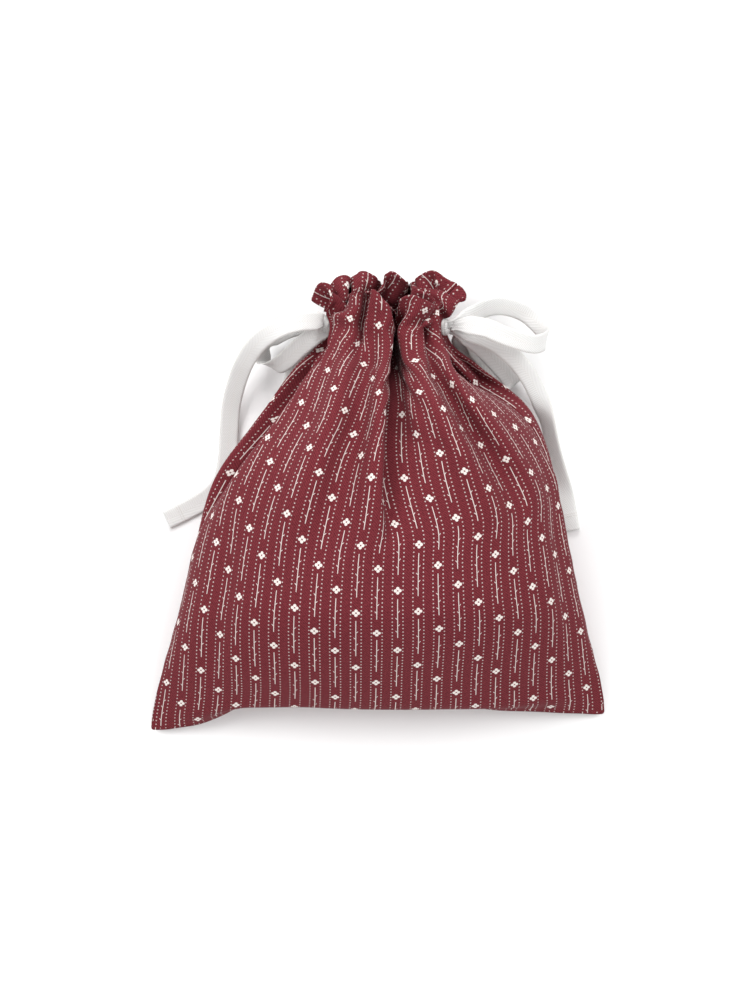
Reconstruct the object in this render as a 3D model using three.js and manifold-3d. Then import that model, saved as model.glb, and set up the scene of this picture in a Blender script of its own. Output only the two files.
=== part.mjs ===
// Drawstring pouch lying on its back, drawn shut and tied with a bow at each side.
// Millimetres, +Z up. The back panel rests on z = 0, the neck points along +Y.
import * as THREE from "three";
import { mergeVertices } from "three/addons/utils/BufferGeometryUtils.js";
import Module from "manifold-3d";

const { Manifold, Mesh: SolidMesh } = await Module().then((m) => (m.setup(), m));

// ---------------------------------------------------------------- driving dimensions
const CLOTH_T = 1.2; // cloth with its turned seams
const SEAM_GAP = 0.3; // between the two panels along the seams
const NECK_X = 5.65; // centre of the drawn neck
const NECK_Z = 27;
const NECK_HALF_W = 31.75; // half width of the drawn neck
const NECK_HALF_H = 17; // half height of the drawn neck
const CASING_Y0 = 85; // lower end of the casing
const CASING_Y1 = 100; // upper end of the casing
const CASING_WALL = 4.2; // both layers and the tunnel between them
const TUNNEL_OUT = 1.0; // depth of the tunnel's outer face below the cloth
const TUNNEL_IN = 3.2; // depth of its inner face
const TUNNEL_END = 1.2; // cloth left at each end of the tunnel
const SLIT_HALF_H = 2.6; // the open side seam at the casing
const PLEATS = 7; // gathers per panel at the neck
const TAPE_W = 10; // flat tape
const TAPE_T = 1.0;
const TAPE_PINCH = 4; // width where the bow grips it
const RUN_W = 5.6; // bunched width inside the casing
const RUN_T = 1.0;
const HEM_L = 8; // turned end of a tape
const COLUMNS = 32; // facets across a panel

// Sections from the bottom seam (first) to the rim of the frill (last).
// l, r: left and right seam point. front, back: rise above and drop below the seam plane at mid width.
// arch: lift of the seam plane at mid width. yf, yb: shift of the mid width along Y, front and back.
// edge: 2 for a flat lens-shaped side, 1 for a full round one. part: half the panels' distance at the seam.
// wave: height of the gathers.
const FLAT = CLOTH_T + SEAM_GAP / 2;
const SECTIONS = [
  { l: [-119.6, -120.45, 7], r: [119.6, -112.6, 7], front: 0, back: 0, arch: 19, yf: 9, yb: 9, edge: 2, part: FLAT, wave: 0 },
  { l: [-117, -110, 11], r: [117.5, -102, 11], front: 21, back: 11, arch: 12, yf: -3.5, yb: 3, edge: 2, part: FLAT, wave: 0 },
  { l: [-111.8, -92.4, 19], r: [114.5, -85, 18], front: 42.5, back: 21, arch: 3, yf: 0, yb: 2, edge: 1.6, part: FLAT, wave: 0 },
  { l: [-102.9, -58.3, 29], r: [109, -55, 27.5], front: 56, back: 36, arch: 0, yf: 0, yb: 0, edge: 1.2, part: 1.2, wave: 0 },
  { l: [-95, -24.2, 35], r: [104, -25, 35], front: 52, back: 44, arch: 0, yf: 0, yb: 0, edge: 1, part: 0.5, wave: 0 },
  { l: [-84.5, 8.9, 37], r: [97, 8.9, 38], front: 48.5, back: 44, arch: 0, yf: 0, yb: 0, edge: 1, part: 0.4, wave: 0 },
  { l: [-62.5, 44, 33], r: [83, 42, 36], front: 44, back: 36, arch: 0, yf: 0, yb: 0, edge: 1, part: 0.4, wave: 0.5 },
  { l: [-41.5, 70.5, 29], r: [52, 70, 30], front: 33.5, back: 23.5, arch: 0, yf: 0, yb: 0, edge: 1, part: 0.4, wave: 1 },
  { l: [NECK_X - NECK_HALF_W, CASING_Y0, NECK_Z], r: [NECK_X + NECK_HALF_W, CASING_Y0, NECK_Z], front: NECK_HALF_H, back: NECK_HALF_H, arch: 0, yf: 0, yb: 0, edge: 1, part: 0.2, wave: 1 },
  { l: [NECK_X - NECK_HALF_W, CASING_Y1, NECK_Z], r: [NECK_X + NECK_HALF_W, CASING_Y1, NECK_Z], front: NECK_HALF_H, back: NECK_HALF_H, arch: 0, yf: 0, yb: 0, edge: 1, part: 0.2, wave: 1 },
  { l: [-33, 106, NECK_Z], r: [43.5, 108, NECK_Z], front: 18.5, back: 18.5, arch: 0, yf: 1, yb: 1, edge: 1, part: 0.6, wave: 1.7 },
  { l: [-37, 113, NECK_Z], r: [46.5, 118.8, NECK_Z], front: 21, back: 20.5, arch: 0, yf: 4, yb: 4, edge: 1, part: 0.7, wave: 2.3 },
];
const ROWS = [0, 0.3, 0.65, 1, 1.5, 2, 2.5, 3, 3.5, 4, 4.5, 5, 5.5, 6, 6.5, 7, 7.4, 7.75, 8, 9, 9.2, 9.6, 10, 10.5, 11];

const CLOTH_COLOUR = 0x7a3238;
const TAPE_COLOUR = 0xefeeea;

// ---------------------------------------------------------------- helpers
// Monotone cubic through evenly spaced values.
function through(values, at) {
  const n = values.length;
  const i = Math.min(Math.max(Math.floor(at), 0), n - 2);
  const step = (k) => values[k + 1] - values[k];
  const slope = (k) => {
    if (k <= 0) return step(0);
    if (k >= n - 1) return step(n - 2);
    const a = step(k - 1);
    const b = step(k);
    return a * b <= 0 ? 0 : (2 * a * b) / (a + b);
  };
  const t = at - i;
  const t2 = t * t;
  const t3 = t2 * t;
  return (
    (2 * t3 - 3 * t2 + 1) * values[i] +
    (t3 - 2 * t2 + t) * slope(i) +
    (-2 * t3 + 3 * t2) * values[i + 1] +
    (t3 - t2) * slope(i + 1)
  );
}
const pick = (f, at) => through(SECTIONS.map(f), at);

function solidFrom(points, faces) {
  const g = new THREE.BufferGeometry();
  g.setAttribute("position", new THREE.Float32BufferAttribute(points.flatMap((p) => [p.x, p.y, p.z]), 3));
  g.setIndex(faces.flat());
  return outward(g);
}
function volume(g) {
  const p = g.getAttribute("position");
  const ix = g.getIndex().array;
  const a = new THREE.Vector3();
  const b = new THREE.Vector3();
  const c = new THREE.Vector3();
  let v = 0;
  for (let i = 0; i < ix.length; i += 3) {
    a.fromBufferAttribute(p, ix[i]);
    b.fromBufferAttribute(p, ix[i + 1]);
    c.fromBufferAttribute(p, ix[i + 2]);
    v += a.dot(b.cross(c)) / 6;
  }
  return v;
}
function outward(g) {
  if (volume(g) < 0) {
    const ix = g.getIndex().array;
    for (let i = 0; i < ix.length; i += 3) [ix[i + 1], ix[i + 2]] = [ix[i + 2], ix[i + 1]];
  }
  return g;
}
function toSolid(geometry) {
  const flat = geometry.clone();
  for (const name of Object.keys(flat.attributes)) if (name !== "position") flat.deleteAttribute(name);
  const g = mergeVertices(flat, 1e-4);
  const mesh = new SolidMesh({
    numProp: 3,
    vertProperties: new Float32Array(g.getAttribute("position").array),
    triVerts: new Uint32Array(g.getIndex().array),
  });
  mesh.merge();
  return new Manifold(mesh);
}
function fromSolid(solid) {
  const m = solid.getMesh();
  const g = new THREE.BufferGeometry();
  const n = m.numProp;
  const out = new Float32Array((m.vertProperties.length / n) * 3);
  for (let i = 0; i < out.length / 3; i++) for (let k = 0; k < 3; k++) out[3 * i + k] = m.vertProperties[n * i + k];
  g.setAttribute("position", new THREE.BufferAttribute(out, 3));
  g.setIndex(new THREE.BufferAttribute(new Uint32Array(m.triVerts), 1));
  return g;
}

// ---------------------------------------------------------------- cloth panels
// A point of the panel: u from the left seam (0) to the right (1), v along the sections. side +1 front, -1 back.
function skin(side, u, v, waves = 1, inset = 0) {
  const c = -Math.cos(Math.PI * u);
  const s = Math.sin(Math.PI * u);
  const get = (f) => pick(f, v);
  const xl = get((q) => q.l[0]);
  const xr = get((q) => q.r[0]);
  const mid = (1 + c) / 2;
  const y = get((q) => q.l[1]) * (1 - mid) + get((q) => q.r[1]) * mid + get((q) => (side > 0 ? q.yf : q.yb)) * s * s;
  const seam = get((q) => q.l[2]) * (1 - mid) + get((q) => q.r[2]) * mid + get((q) => q.arch) * s * s;
  const rise = Math.max(get((q) => (side > 0 ? q.front : q.back)) - inset, 0);
  const half = (xr - xl) / 2 - inset;
  const edge = get((q) => q.edge) * (side > 0 ? 1 : 0.85);
  const lift = waves * get((q) => q.wave) * (1 + Math.cos(2 * Math.PI * PLEATS * u));
  const x = (xl + xr) / 2 + (half + lift) * c;
  const z = seam + side * (get((q) => q.part) * (1 - 0.6 * s * s) + (rise + lift * Math.min(rise / 10, 1)) * s ** edge);
  return new THREE.Vector3(x, y, Math.max(z, 0));
}
function skinNormal(side, u, v) {
  const e = 0.012;
  const last = SECTIONS.length - 1;
  const du = skin(side, Math.min(u + e, 1), v).sub(skin(side, Math.max(u - e, 0), v));
  const dv = skin(side, u, Math.min(v + e, last)).sub(skin(side, u, Math.max(v - e, 0)));
  return du.cross(dv).multiplyScalar(side).normalize();
}
function ramp(a, b, x) {
  const t = Math.min(Math.max((x - a) / (b - a), 0), 1);
  return t * t * (3 - 2 * t);
}
function panel(side) {
  const points = [];
  const faces = [];
  const nu = COLUMNS + 1;
  const nv = ROWS.length;
  for (const inner of [false, true])
    for (const v of ROWS)
      for (let i = 0; i < nu; i++) {
        const u = i / COLUMNS;
        const p = skin(side, u, v);
        if (inner) {
          const casing = ramp(7.7, 7.98, v) * (1 - ramp(9.02, 9.5, v));
          const thin = p.clone().addScaledVector(skinNormal(side, u, v), -CLOTH_T);
          p.copy(thin).lerp(skin(side, u, v, 0, CASING_WALL), casing);
          if (side < 0) p.z = Math.max(p.z, CLOTH_T);
        }
        points.push(p);
      }
  const id = (inner, j, i) => (inner ? nu * nv : 0) + j * nu + i;
  const quad = (a, b, c, d) => faces.push([a, b, c], [a, c, d]);
  for (let j = 0; j < nv - 1; j++)
    for (let i = 0; i < nu - 1; i++) {
      quad(id(0, j, i), id(0, j, i + 1), id(0, j + 1, i + 1), id(0, j + 1, i));
      quad(id(1, j, i), id(1, j + 1, i), id(1, j + 1, i + 1), id(1, j, i + 1));
    }
  for (let i = 0; i < nu - 1; i++) {
    quad(id(0, 0, i), id(1, 0, i), id(1, 0, i + 1), id(0, 0, i + 1));
    quad(id(0, nv - 1, i), id(0, nv - 1, i + 1), id(1, nv - 1, i + 1), id(1, nv - 1, i));
  }
  for (let j = 0; j < nv - 1; j++) {
    quad(id(0, j, 0), id(0, j + 1, 0), id(1, j + 1, 0), id(1, j, 0));
    quad(id(0, j, nu - 1), id(1, j, nu - 1), id(1, j + 1, nu - 1), id(0, j + 1, nu - 1));
  }
  return solidFrom(points, faces);
}

// Oval ring about the neck between two depths below the cloth.
function ovalRing(outer, inner, y0, y1) {
  const shape = new THREE.Shape();
  shape.absellipse(NECK_X, NECK_Z, NECK_HALF_W - outer, NECK_HALF_H + 0.2 - outer, 0, 2 * Math.PI);
  const hole = new THREE.Path();
  hole.absellipse(NECK_X, NECK_Z, NECK_HALF_W - inner, NECK_HALF_H + 0.2 - inner, 0, 2 * Math.PI);
  shape.holes.push(hole);
  const g = new THREE.ExtrudeGeometry(shape, { depth: y1 - y0, bevelEnabled: false, curveSegments: 24 });
  return g.rotateX(Math.PI / 2).translate(0, y1, 0);
}
function slit(x0, x1) {
  const y0 = CASING_Y0 + TUNNEL_END;
  const y1 = CASING_Y1 - TUNNEL_END;
  const g = new THREE.BoxGeometry(x1 - x0, y1 - y0, 2 * SLIT_HALF_H);
  return g.translate((x0 + x1) / 2, (y0 + y1) / 2, NECK_Z);
}
const casingCut = toSolid(ovalRing(TUNNEL_OUT, TUNNEL_IN, CASING_Y0 + TUNNEL_END, CASING_Y1 - TUNNEL_END))
  .add(toSolid(slit(NECK_X - NECK_HALF_W - 6, NECK_X - NECK_HALF_W + 2.2)))
  .add(toSolid(slit(NECK_X + NECK_HALF_W - 2.2, NECK_X + NECK_HALF_W + 6)));
const frontPanel = fromSolid(toSolid(panel(1)).subtract(casingCut));
const backPanel = fromSolid(toSolid(panel(-1)).subtract(casingCut));

// ---------------------------------------------------------------- tapes
// Bunched run round the neck inside the casing; both ends leave the slit on one side (-1 left, +1 right).
function channelRun(side, y0, y1) {
  const depth = (TUNNEL_OUT + TUNNEL_IN) / 2;
  const a = NECK_HALF_W - depth;
  const b = NECK_HALF_H + 0.2 - depth;
  const path = [];
  const steps = 44;
  const open = (13 * Math.PI) / 180;
  const out = -(NECK_HALF_W + 3);
  path.push([out, 1.0], [out + 3.6, 1.05], [-a - 0.35, 1.5]);
  for (let i = 0; i <= steps; i++) {
    const t = Math.PI - open - (i / steps) * (2 * Math.PI - 2 * open);
    path.push([a * Math.cos(t), b * Math.sin(t)]);
  }
  path.push([-a - 0.35, -1.5], [out + 3.6, -1.05], [out, -1.0]);
  const left = [];
  const right = [];
  path.forEach(([x, z], i) => {
    const p = path[Math.max(i - 1, 0)];
    const q = path[Math.min(i + 1, path.length - 1)];
    const l = Math.hypot(q[0] - p[0], q[1] - p[1]);
    const nx = -(q[1] - p[1]) / l;
    const nz = (q[0] - p[0]) / l;
    left.push(new THREE.Vector2(NECK_X - side * (x + (nx * RUN_T) / 2), NECK_Z + z + (nz * RUN_T) / 2));
    right.push(new THREE.Vector2(NECK_X - side * (x - (nx * RUN_T) / 2), NECK_Z + z - (nz * RUN_T) / 2));
  });
  const g = new THREE.ExtrudeGeometry(new THREE.Shape([...left, ...right.reverse()]), { depth: y1 - y0, bevelEnabled: false });
  return g.rotateX(Math.PI / 2).translate(0, y1, 0);
}

// Flat tape through points [x, y, z] whose width lies along the given directions. hem: the last stretch is turned over.
function tape(route, across, { steps, pinchEnd = false, hem = false }) {
  const curve = new THREE.CatmullRomCurve3(route.map((p) => new THREE.Vector3(...p)), false, "centripetal");
  const total = curve.getLength();
  const knots = route.map((_, i) => i / (route.length - 1));
  const ring = [[-1, -0.5], [-0.84, -1], [0.84, -1], [1, -0.5], [1, 0.5], [0.84, 1], [-0.84, 1], [-1, 0.5]];
  const points = [];
  const faces = [];
  const stops = [];
  for (let i = 0; i <= steps; i++) stops.push(i / steps);
  if (hem) stops.splice(0, stops.length, ...stops.filter((s) => s < 1 - (HEM_L + 3) / total), 1 - HEM_L / total - 0.004, 1 - HEM_L / total + 0.004, 1);
  stops.forEach((s) => {
    const at = curve.getPointAt(s);
    const along = curve.getTangentAt(s);
    const t = curve.getUtoTmapping(s);
    let k = 0;
    while (k < knots.length - 2 && t > knots[k + 1]) k++;
    const f = (t - knots[k]) / (knots[k + 1] - knots[k]);
    const w = new THREE.Vector3(...across[Math.min(k, across.length - 1)]).lerp(new THREE.Vector3(...across[Math.min(k + 1, across.length - 1)]), f);
    w.addScaledVector(along, -w.dot(along)).normalize();
    const n = new THREE.Vector3().crossVectors(along, w);
    const mm = s * total;
    let half = TAPE_PINCH + (TAPE_W - TAPE_PINCH) * ramp(0, 14, mm);
    if (pinchEnd) half = Math.min(half, TAPE_PINCH + (TAPE_W - TAPE_PINCH) * ramp(0, 14, total - mm));
    const turned = hem && mm > total - HEM_L;
    for (const [a, b] of ring)
      points.push(at.clone().addScaledVector(w, (a * half) / 2).addScaledVector(n, ((turned ? 1.6 : 1) * b * TAPE_T) / 2));
  });
  const m = ring.length;
  for (let j = 0; j < stops.length - 1; j++)
    for (let i = 0; i < m; i++) {
      const i2 = (i + 1) % m;
      faces.push([j * m + i, j * m + i2, (j + 1) * m + i2], [j * m + i, (j + 1) * m + i2, (j + 1) * m + i]);
    }
  const last = (stops.length - 1) * m;
  for (let i = 1; i < m - 1; i++) faces.push([0, i + 1, i], [last, last + i, last + i + 1]);
  return solidFrom(points, faces);
}
function knot(x, y, z) {
  return new THREE.SphereGeometry(1, 16, 10).scale(4.2, 5.6, 4.6).translate(x, y, z);
}

const KNOT_Y = 92.5;
const LEFT_KNOT_X = NECK_X - NECK_HALF_W - 7.5;
const RIGHT_KNOT_X = NECK_X + NECK_HALF_W + 7.6;

const LEFT_LOOP_FRONT = [[-38.7, 89.5, 26], [-44.5, 83.2, 22], [-51.3, 75.3, 15], [-57.1, 70.6, 9], [-60.2, 72.7, 4.5], [-57.1, 79.5, 5.5], [-48.2, 86.4, 12], [-38.7, 91.6, 21]];
const LEFT_LOOP_BACK = [[-39.2, 95.3, 28.5], [-46.6, 96.6, 27], [-55.0, 96.2, 21], [-60.3, 94.0, 14], [-58.7, 91.8, 9], [-50.3, 93.5, 5], [-39.2, 95.3, 16]];
const LEFT_TAIL_LONG = [[-38.2, 93.7, 32], [-45.5, 94.2, 34.5], [-55.0, 90.6, 33], [-63.4, 83.2, 28], [-69.2, 74.3, 20], [-73.9, 62.7, 11], [-77.0, 49.6, 4], [-78.6, 33.9, 1.6], [-80.2, 19.7, 1.3], [-83.3, 7.6, 1.3], [-90.7, -0.3, 1.3], [-101.2, -6.0, 1.2], [-111.2, -11.3, 1.2]];
const LEFT_TAIL_UNDER = [[-36.6, 87.4, 20], [-39.8, 81.1, 11], [-42.4, 74.3, 4.5], [-44.5, 65.4, 1.6], [-49.2, 49.6, 1.3], [-58.1, 33.9, 1.3], [-67.6, 19.7, 1.2]];
const RIGHT_LOOP_UPPER = [[50.0, 95.8, 29], [55.3, 99.5, 24], [64.7, 101.6, 17], [75.7, 98.4, 13.5], [83.6, 91.1, 16], [86.8, 83.7, 24], [80.5, 80.6, 32], [67.9, 85.3, 36], [56.8, 90.6, 35.5], [50.0, 93.2, 33.6]];
const RIGHT_LOOP_LOWER = [[49.0, 87.9, 23.5], [53.2, 82.2, 19], [61.0, 73.2, 11], [67.9, 64.8, 6.5], [70.5, 59.6, 4.8], [65.2, 62.7, 2.4], [57.9, 71.1, 3], [51.1, 79.5, 10], [48.6, 86.2, 18.5]];
const RIGHT_TAIL_OUTER = [[50.0, 90.6, 27], [56.3, 85.3, 25], [66.3, 78.0, 19], [76.3, 67.5, 12.5], [83.1, 55.9, 6.8], [87.8, 41.7, 5.8], [91.0, 26.0, 5.8], [93.6, 12.9, 5.4], [96.7, -0.3, 1.8], [100.9, -16.0, 1.2]];
const RIGHT_TAIL_UNDER = [[43.3, 85.8, 16.5], [45.8, 79.5, 9], [46.9, 71.1, 2.4], [53.2, 55.4, 1.4], [63.7, 41.7, 1.3], [74.2, 27.0, 1.3], [80.6, 10.2, 1.3], [84.2, -4.5, 1.2]];

const parts = [
  ["front_panel", frontPanel, CLOTH_COLOUR, 0.85],
  ["back_panel", backPanel, CLOTH_COLOUR, 0.85],
  ["left_tape_channel", channelRun(-1, CASING_Y0 + 1.6, CASING_Y0 + 1.6 + RUN_W), TAPE_COLOUR, 0.8],
  ["left_bow_knot", knot(LEFT_KNOT_X, KNOT_Y, NECK_Z), TAPE_COLOUR, 0.8],
  ["left_loop_front", tape(LEFT_LOOP_FRONT, [[-0.6, 0.75, 0.2], [-0.6, 0.75, 0.2], [-0.75, 0.6, 0.1], [-0.9, 0.45, 0], [-0.9, 0.45, 0], [-0.7, 0.7, 0], [-0.6, 0.75, 0], [-0.5, 0.8, 0]], { steps: 20, pinchEnd: true }), TAPE_COLOUR, 0.8],
  ["left_loop_back", tape(LEFT_LOOP_BACK, [[-0.2, 0.9, 0.3]], { steps: 18, pinchEnd: true }), TAPE_COLOUR, 0.8],
  ["left_tail_long", tape(LEFT_TAIL_LONG, [[0, 1, 0], [0.1, 1, 0], [-0.4, 0.9, 0], [-0.75, 0.65, 0], [-0.88, 0.45, 0], [-0.95, 0.3, 0], [-0.98, 0.2, 0], [-1, 0.1, 0], [-1, 0.15, 0], [-0.85, 0.5, 0], [-0.6, 0.8, 0], [-0.47, 0.88, 0], [-0.47, 0.88, 0]], { steps: 30, hem: true }), TAPE_COLOUR, 0.8],
  ["left_tail_under", tape(LEFT_TAIL_UNDER, [[0.8, -0.4, 0.2], [0.9, -0.4, 0.1], [1, -0.3, 0], [1, -0.25, 0], [0.92, -0.4, 0], [0.85, -0.53, 0], [0.83, -0.55, 0]], { steps: 16, hem: true }), TAPE_COLOUR, 0.8],
  ["right_tape_channel", channelRun(1, CASING_Y1 - 1.6 - RUN_W, CASING_Y1 - 1.6), TAPE_COLOUR, 0.8],
  ["right_bow_knot", knot(RIGHT_KNOT_X, KNOT_Y, NECK_Z), TAPE_COLOUR, 0.8],
  ["right_loop_upper", tape(RIGHT_LOOP_UPPER, [[0.1, 0.95, 0.15], [0.2, 0.95, 0.2], [0.2, 0.95, 0.2], [0.4, 0.85, 0.3], [0.7, 0.6, 0.2], [0.8, 0.5, 0.1], [0.5, 0.8, 0.2], [0.4, 0.9, 0.1], [0.3, 0.9, 0], [0.2, 0.95, 0]], { steps: 24, pinchEnd: true }), TAPE_COLOUR, 0.8],
  ["right_loop_lower", tape(RIGHT_LOOP_LOWER, [[0.7, 0.7, 0.15]], { steps: 20, pinchEnd: true }), TAPE_COLOUR, 0.8],
  ["right_tail_outer", tape(RIGHT_TAIL_OUTER, [[0.6, 0.8, 0], [0.6, 0.8, 0], [0.65, 0.75, 0.2], [0.7, 0.5, 0.5], [0.4, 0.2, 0.9], [0.15, 0, 1], [0.15, 0, 1], [0.5, 0.1, 0.85], [0.95, 0.2, 0.2], [0.97, 0.25, 0]], { steps: 26, hem: true }), TAPE_COLOUR, 0.8],
  ["right_tail_under", tape(RIGHT_TAIL_UNDER, [[1, 0.2, 0.2], [1, 0.1, 0.1], [1, 0.2, 0], [0.9, 0.45, 0], [0.8, 0.6, 0], [0.82, 0.55, 0], [0.9, 0.4, 0], [0.95, 0.3, 0]], { steps: 20, hem: true }), TAPE_COLOUR, 0.8],
];

const group = new THREE.Group();
group.name = "drawstring_pouch";
for (const [name, geometry, color, roughness] of parts) {
  const mesh = new THREE.Mesh(geometry, new THREE.MeshStandardMaterial({ color, roughness, metalness: 0 }));
  mesh.name = name;
  group.add(mesh);
}
export default group;
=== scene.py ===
import math

import bpy
import numpy as np
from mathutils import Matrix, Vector


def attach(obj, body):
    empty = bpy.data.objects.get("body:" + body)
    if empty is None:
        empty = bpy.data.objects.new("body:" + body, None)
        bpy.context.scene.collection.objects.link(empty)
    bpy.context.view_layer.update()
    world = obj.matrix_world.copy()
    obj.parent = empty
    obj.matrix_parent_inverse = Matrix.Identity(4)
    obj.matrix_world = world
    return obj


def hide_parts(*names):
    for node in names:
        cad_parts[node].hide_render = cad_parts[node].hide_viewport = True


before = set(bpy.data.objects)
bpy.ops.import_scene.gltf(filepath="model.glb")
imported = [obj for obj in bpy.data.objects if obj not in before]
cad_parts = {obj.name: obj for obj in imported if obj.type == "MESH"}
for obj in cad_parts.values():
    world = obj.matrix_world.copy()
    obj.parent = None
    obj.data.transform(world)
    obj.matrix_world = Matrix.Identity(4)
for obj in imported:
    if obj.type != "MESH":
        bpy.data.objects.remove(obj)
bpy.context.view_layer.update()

SCENE = bpy.context.scene

# ------------------------------------------------------------------ camera
# The pouch lies on its back and the camera looks straight down, image up = +Y.
MM_PX = 0.525  # millimetres per pixel in the plane Z_REF, image 750 x 1000
Z_REF = 30.0
CAM_D = 2200.0  # camera height above that plane
X_MID = (375.0 - 378.75) * MM_PX
Y_MID = (499.5 - 500.0) * MM_PX


def at(px, py, z):
    """The point at height z (mm) that the camera shows at pixel px, py."""
    f = MM_PX * (CAM_D - (z - Z_REF)) / CAM_D
    return np.array([X_MID + (px - 375.0) * f, Y_MID + (500.0 - py) * f, z])


cam_data = bpy.data.cameras.new("camera")
cam = bpy.data.objects.new("camera", cam_data)
SCENE.collection.objects.link(cam)
cam.location = (X_MID / 1000, Y_MID / 1000, (CAM_D + Z_REF) / 1000)
cam.rotation_euler = (0.0, 0.0, 0.0)
cam_data.sensor_fit = "VERTICAL"
cam_data.sensor_height = 24.0
cam_data.lens = 24.0 * CAM_D / (1000 * MM_PX)
cam_data.clip_start = 0.05
cam_data.clip_end = 20.0
SCENE.camera = cam

# ------------------------------------------------------------------ cloth: sizes
W = 250.0  # flat width of each panel between the side seams
V8, V9, V11 = 238.0, 252.0, 276.0  # along the cloth: casing starts, casing ends, rim
NU, NV = 101, 111

# Sections from the bottom seam to the rim: left seam x y z, right seam x y z, rise of the front and
# drop of the back at mid width, lift of the seam plane, y shift front and back, edge shape.
SEC = np.array(
    [
        [-121.5, -121.2, 3, 120.0, -113.4, 3, 0, 0, 19, 9, 9, 2.0],
        [-119.4, -110.0, 8, 118.6, -102.0, 8, 21, 11, 12, -3.5, 3, 2.0],
        [-114.4, -92.4, 17, 114.2, -85.0, 16, 42.5, 19, 3, 0, 2, 1.6],
        [-104.8, -58.3, 29, 106.4, -55.0, 27.5, 56, 36, 0, 0, 0, 1.2],
        [-96.5, -24.2, 35, 99.8, -25.0, 35, 53, 44, 0, 0, 0, 1.12],
        [-87.0, 8.9, 37, 93.0, 8.9, 38, 49.5, 44, 0, 0, 0, 1.1],
        [-62.7, 44.0, 33, 83.0, 42.0, 36, 45, 36, 0, -2, 0, 1.15],
        [-43.0, 70.5, 29, 53.0, 70.0, 30, 36, 23.5, 0, -8, 2, 1.15],
        [-32.0, 81.0, 27, 39.0, 81.0, 27, 27, 19.5, 0, -9, 5, 1.1],
        [-26.5, 95.0, 27, 34.5, 95.0, 27, 20, 17, 0, -10, 5, 1.0],
        [-33.0, 106.0, 27, 43.5, 108.0, 27, 18.5, 18.5, 0, 1, 1, 1.0],
        [-37.0, 113.0, 27, 46.5, 118.8, 27, 21, 20.5, 0, 4, 4, 1.0],
    ]
)


def _slopes(y):
    d = np.diff(y, axis=0)
    m = np.zeros_like(y)
    a, b = d[:-1], d[1:]
    same = a * b > 0
    m[1:-1] = np.where(same, 2 * a * b / np.where(same, a + b, 1), 0)
    m[0], m[-1] = d[0], d[-1]
    return m


SLOPE = _slopes(SEC)


def section(t):
    """All section values at station t (array) by monotone cubic."""
    t = np.asarray(t, float)
    i = np.clip(np.floor(t).astype(int), 0, len(SEC) - 2)
    f = (t - i)[..., None]
    f2, f3 = f * f, f * f * f
    return (
        (2 * f3 - 3 * f2 + 1) * SEC[i]
        + (f3 - 2 * f2 + f) * SLOPE[i]
        + (-2 * f3 + 3 * f2) * SEC[i + 1]
        + (f3 - f2) * SLOPE[i + 1]
    )


def outline(side, w, t):
    """Points of the plain section: side 0 front, 1 back, w from left seam to right seam."""
    q = section(t)
    c, s = -np.cos(np.pi * w), np.sin(np.pi * w)
    mid = (1 + c) / 2
    x = (q[..., 0] + q[..., 3]) / 2 + (q[..., 3] - q[..., 0]) / 2 * c
    y = q[..., 1] * (1 - mid) + q[..., 4] * mid + q[..., 9 + side] * s * s
    z = q[..., 2] * (1 - mid) + q[..., 5] * mid + q[..., 8] * s * s
    edge = np.minimum(q[..., 11], 0.9) if side else q[..., 11]
    z = z + (-1 if side else 1) * q[..., 6 + side] * np.maximum(s, 0) ** edge
    return np.stack([x, y, np.maximum(z, 0.6)], -1)


def _station_of(points, ts):
    """Cloth length along one line of points -> station, with the casing and the rim at V8, V9, V11."""
    l = np.concatenate([[0], np.cumsum(np.linalg.norm(np.diff(points, axis=0), axis=1))])
    l8, l9 = np.interp([8, 9], ts, l)
    v = np.where(
        ts <= 8,
        l / l8 * V8,
        np.where(ts <= 9, V8 + (l - l8) / (l9 - l8) * (V9 - V8), V9 + (l - l9) / (l[-1] - l9) * (V11 - V9)),
    )
    return v, l8


TS = np.linspace(0, 11, 1101)
V_LEFT, LEN_L = _station_of(outline(0, np.zeros_like(TS), TS), TS)
V_RIGHT, LEN_R = _station_of(outline(0, np.ones_like(TS), TS), TS)
V_MID = [_station_of(outline(k, np.full_like(TS, 0.5), TS), TS) for k in (0, 1)]
print("cloth lengths to the casing: left %.1f right %.1f front %.1f back %.1f" % (LEN_L, LEN_R, V_MID[0][1], V_MID[1][1]))


# The side seams sink between the folds of front and back: (mm of cloth below the casing, mm deep) pairs.
SINK = (((0, 18), (30, 12), (60, 8), (90, 5), (122, 0)), ((0, 18), (20, 13), (40, 8), (70, 4), (100, 0)))
# how far the front fold lies inside the back fold, left and right: mm of cloth below the casing, mm
INSET = (
    ((-16, -4, 6, 40, 70, 98, 122), (0, 2.5, 7, 9.5, 9.5, 7, 0)),
    ((-16, -4, 6, 16, 30, 44, 62, 92), (0, 2.5, 7.5, 13, 15, 13, 7, 0)),
)


def fold_at(side, end, v):
    """Inset and lift (mm) of the fold at one end of a row."""
    q = V8 - v
    inset = float(np.interp(q, *INSET[end]))
    mouth = 3.2 * math.exp(-(((v - (V8 + V9) / 2) / 11.0) ** 2))  # room for the tape
    return (0.0, -mouth - 0.3 * inset) if side else (inset, 1.25 * inset + mouth)


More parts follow.
